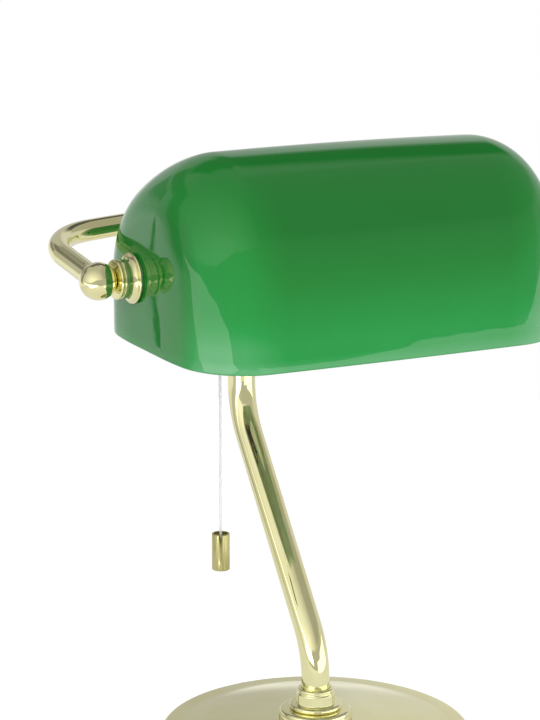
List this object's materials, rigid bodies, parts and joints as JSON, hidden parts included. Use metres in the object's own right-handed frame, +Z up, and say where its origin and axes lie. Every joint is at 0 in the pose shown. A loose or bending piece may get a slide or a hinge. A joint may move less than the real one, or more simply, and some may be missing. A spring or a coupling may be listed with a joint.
{
  "type": "banker desk lamp",
  "caption": "Desk lamp with a tilting green glass shade held in a brass yoke, on a leaning stem and round weighted base, switched by a pull cord.",
  "frame": {"origin": "centre of the base's underside", "axes": "+Z up, the lamp's front faces -Y, +X to the lamp's right seen from the front of it; the shade's pivot axis runs along X"},
  "size_m": [0.2858, 0.1888, 0.353],
  "materials": {
    "brass": "polished",
    "satin_brass": "satin",
    "pull_brass": "satin",
    "green_glass": "gloss, cased white inside, opaque to look at",
    "opal_glass": "satin opal",
    "iron": "as cast",
    "steel": "zinc plated",
    "felt": "matt felt",
    "black_rubber": "matt",
    "nylon": "natural",
    "black_plastic": "moulded",
    "ceramic": "unglazed porcelain",
    "cord": "thin braided cord"
  },
  "bodies": {
    "stand": {"base_pad": "felt", "base_weight": "iron", "base_cover": "brass", "cable_bush": "black_rubber", "base_washer": "steel", "base_nut": "steel", "stem_nipple": "steel", "stem_plug": "satin_brass", "stem_collar": "brass", "stem_tube": "brass", "yoke_tee": "brass", "yoke_tube": "brass", "left_ball": "brass", "right_ball": "brass", "left_collar": "brass", "right_collar": "brass", "left_flange": "brass", "right_flange": "brass", "left_washer": "nylon", "right_washer": "nylon", "left_nipple": "satin_brass", "right_nipple": "satin_brass", "left_seal": "black_rubber", "right_seal": "black_rubber", "left_locknut": "satin_brass", "right_locknut": "satin_brass", "holder_cap": "black_plastic", "switch_housing": "black_plastic", "holder_skirt": "black_plastic", "holder_sleeve": "satin_brass", "holder_insulator": "ceramic", "centre_contact": "satin_brass", "cord_bush": "brass"},
    "shade": {"shade_glass": "green_glass", "left_bush": "nylon", "right_bush": "nylon"},
    "pull": {"pull_cord": "cord", "cord_stop": "steel", "pull_knot": "cord", "pull_weight": "pull_brass"},
    "bulb": {"bulb_glass": "opal_glass", "bulb_cap": "steel", "bulb_insulator": "black_plastic", "bulb_contact": "steel"}
  },
  "joints": [
    {"name": "shade_tilt", "type": "hinge", "parent": "stand", "child": "shade", "pos_m": [0, -0.004, 0.285], "axis": [1, 0, 0], "range_deg": [-40, 35]},
    {"name": "pull_switch", "type": "slide", "parent": "stand", "child": "pull", "axis": [0, 0, -1], "range_m": [0, 0.008], "stiffness_N_per_m": 400, "springref_m": -0.003},
    {"name": "bulb_unscrew", "type": "slide", "parent": "stand", "child": "bulb", "axis": [1, 0, 0], "range_m": [0, 0.026]}
  ]
}
